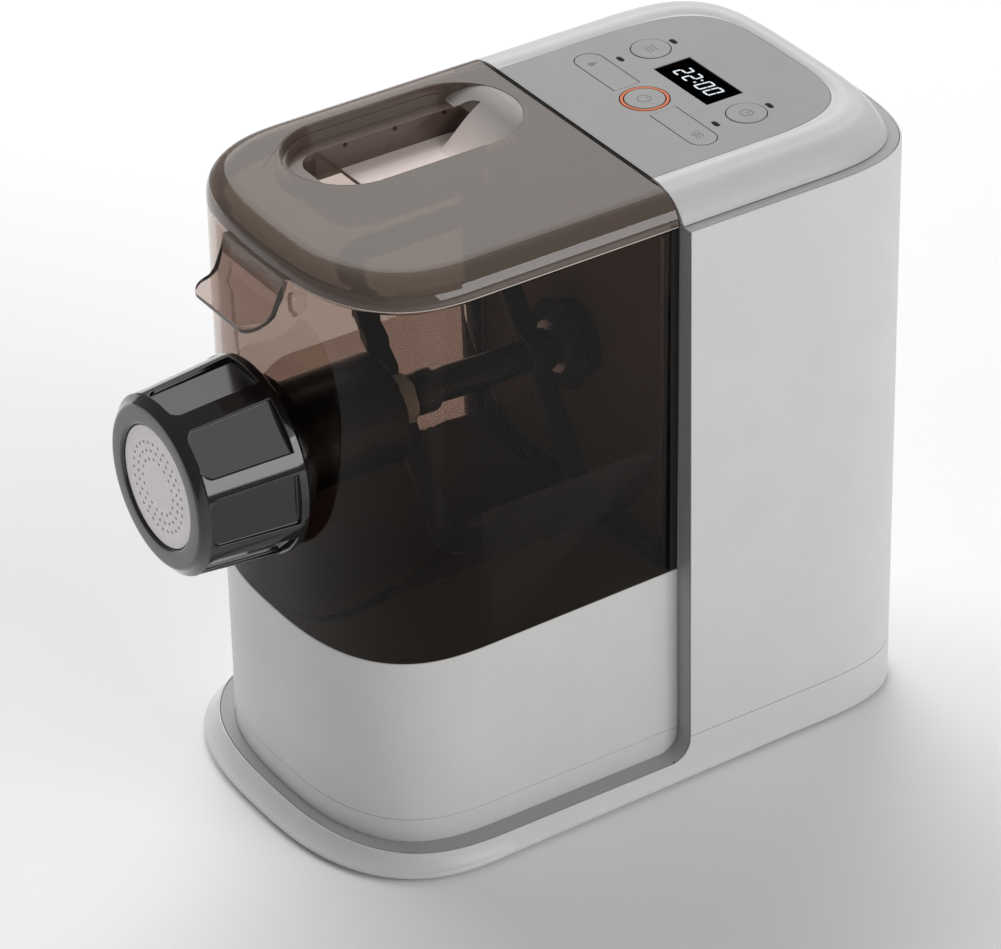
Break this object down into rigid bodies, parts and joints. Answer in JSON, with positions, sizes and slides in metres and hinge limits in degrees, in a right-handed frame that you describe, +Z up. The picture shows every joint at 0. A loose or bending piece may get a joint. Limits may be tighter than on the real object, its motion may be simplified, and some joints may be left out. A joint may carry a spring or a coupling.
{
  "type": "electric pasta maker",
  "caption": "Electric pasta maker with a smoked mixing chamber and hinged lid, a screw-fed die held by a ribbed nut, a geared motor in a white shell and a top control panel.",
  "frame": {"origin": "on the floor, in the middle of the overall width and depth", "axes": "+Z up, -Y towards the front where the die is, +X towards the user's right when facing the die from inside the machine, which is the long side seen in the picture"},
  "size_m": [0.1968, 0.366, 0.3103],
  "materials": {
    "white_shell": "satin white",
    "panel_grey": "satin light grey",
    "grey_trim": "satin mid grey",
    "smoked_plastic": "clear smoked brown",
    "black_gloss": "glossy black",
    "die_plastic": "satin off-white",
    "dark_plastic": "satin black",
    "rubber": "matt black",
    "nylon": "natural",
    "steel": "plain",
    "orange_ring": "satin orange",
    "display_black": "glossy black",
    "board_green": "lacquered board"
  },
  "bodies": {
    "housing": {"foot_shell": "white_shell", "base_plate": "dark_plastic", "front_right_foot": "rubber", "front_left_foot": "rubber", "rear_right_foot": "rubber", "rear_left_foot": "rubber", "front_right_base_screw": "steel", "front_left_base_screw": "steel", "rear_right_base_screw": "steel", "rear_left_base_screw": "steel", "rear_shell": "white_shell", "front_base": "white_shell", "front_trim": "grey_trim", "cap_trim": "grey_trim", "bulkhead_panel": "dark_plastic", "mixing_chamber": "smoked_plastic", "chamber_seal": "rubber", "extruder_barrel": "dark_plastic", "barrel_clamp_ring": "dark_plastic", "shaft_seal": "rubber", "second_gear_axle": "steel", "gearbox_cover": "dark_plastic", "gearbox_case": "dark_plastic", "output_bearing_front": "steel", "output_bearing_rear": "steel", "motor_body": "steel", "motor_bracket": "steel", "top_cap": "white_shell", "control_fascia": "panel_grey", "display_lens": "display_black", "display_module": "display_black", "start_ring": "orange_ring", "light_guide_right": "display_black", "light_guide_left": "display_black", "control_board": "board_green", "main_board": "board_green", "mains_inlet": "dark_plastic"},
    "lid": {"lid": "smoked_plastic"},
    "die_plate": {"die": "die_plastic", "die_gasket": "rubber"},
    "nut": {"die_nut": "black_gloss"},
    "mixer": {"extruding_screw": "nylon", "mixing_shaft": "dark_plastic", "mixing_arm_upper": "dark_plastic", "mixing_arm_lower": "dark_plastic", "drive_coupling": "steel", "output_shaft": "steel", "output_gear": "nylon"},
    "middle_gear": {"second_gear": "nylon"},
    "rotor": {"motor_pinion": "steel", "rotor_shaft": "steel", "cooling_fan": "dark_plastic"},
    "start_key": {"start_button": "panel_grey"},
    "right_round_key": {"round_key_right": "panel_grey"},
    "left_round_key": {"round_key_left": "panel_grey"},
    "right_long_key": {"long_key_right": "panel_grey"},
    "left_long_key": {"long_key_left": "panel_grey"}
  },
  "joints": [
    {"name": "lid_hinge", "type": "hinge", "parent": "housing", "child": "lid", "pos_m": [0, 0.0394, 0.308], "axis": [-1, 0, 0], "range_deg": [0, 85]},
    {"name": "die_slide", "type": "slide", "parent": "housing", "child": "die_plate", "axis": [0, -1, 0], "range_m": [0, 0.005]},
    {"name": "nut_turn", "type": "hinge", "parent": "die_plate", "child": "nut", "pos_m": [0, -0.18, 0.1961], "axis": [0, -1, 0], "range_deg": [0, 450]},
    {"name": "mixer_spin", "type": "hinge", "parent": "housing", "child": "mixer", "pos_m": [0, 0.0412, 0.1961], "axis": [0, 1, 0], "continuous": true},
    {"name": "middle_gear_spin", "type": "hinge", "parent": "housing", "child": "middle_gear", "pos_m": [0, 0.0612, 0.1361], "axis": [0, 1, 0], "continuous": true},
    {"name": "rotor_spin", "type": "hinge", "parent": "housing", "child": "rotor", "pos_m": [0, 0.0712, 0.1011], "axis": [0, 1, 0], "continuous": true},
    {"name": "start_press", "type": "slide", "parent": "housing", "child": "start_key", "axis": [0, 0, -1], "range_m": [0, 0.0008], "stiffness_N_per_m": 900},
    {"name": "right_round_press", "type": "slide", "parent": "housing", "child": "right_round_key", "axis": [0, 0, -1], "range_m": [0, 0.0008], "stiffness_N_per_m": 900},
    {"name": "left_round_press", "type": "slide", "parent": "housing", "child": "left_round_key", "axis": [0, 0, -1], "range_m": [0, 0.0008], "stiffness_N_per_m": 900},
    {"name": "right_long_press", "type": "hinge", "parent": "housing", "child": "right_long_key", "pos_m": [0.0142, 0.082, 0.308], "axis": [0, 1, 0], "range_deg": [0, 1.2], "stiffness_Nm_per_rad": 0.9},
    {"name": "left_long_press", "type": "hinge", "parent": "housing", "child": "left_long_key", "pos_m": [-0.0142, 0.082, 0.308], "axis": [0, -1, 0], "range_deg": [0, 1.2], "stiffness_Nm_per_rad": 0.9}
  ],
  "couplings": [
    {"joint": "die_slide", "follows": "nut_turn", "m_per_rad": 0.0006366},
    {"joint": "middle_gear_spin", "follows": "mixer_spin", "ratio": -4},
    {"joint": "rotor_spin", "follows": "mixer_spin", "ratio": 12}
  ]
}
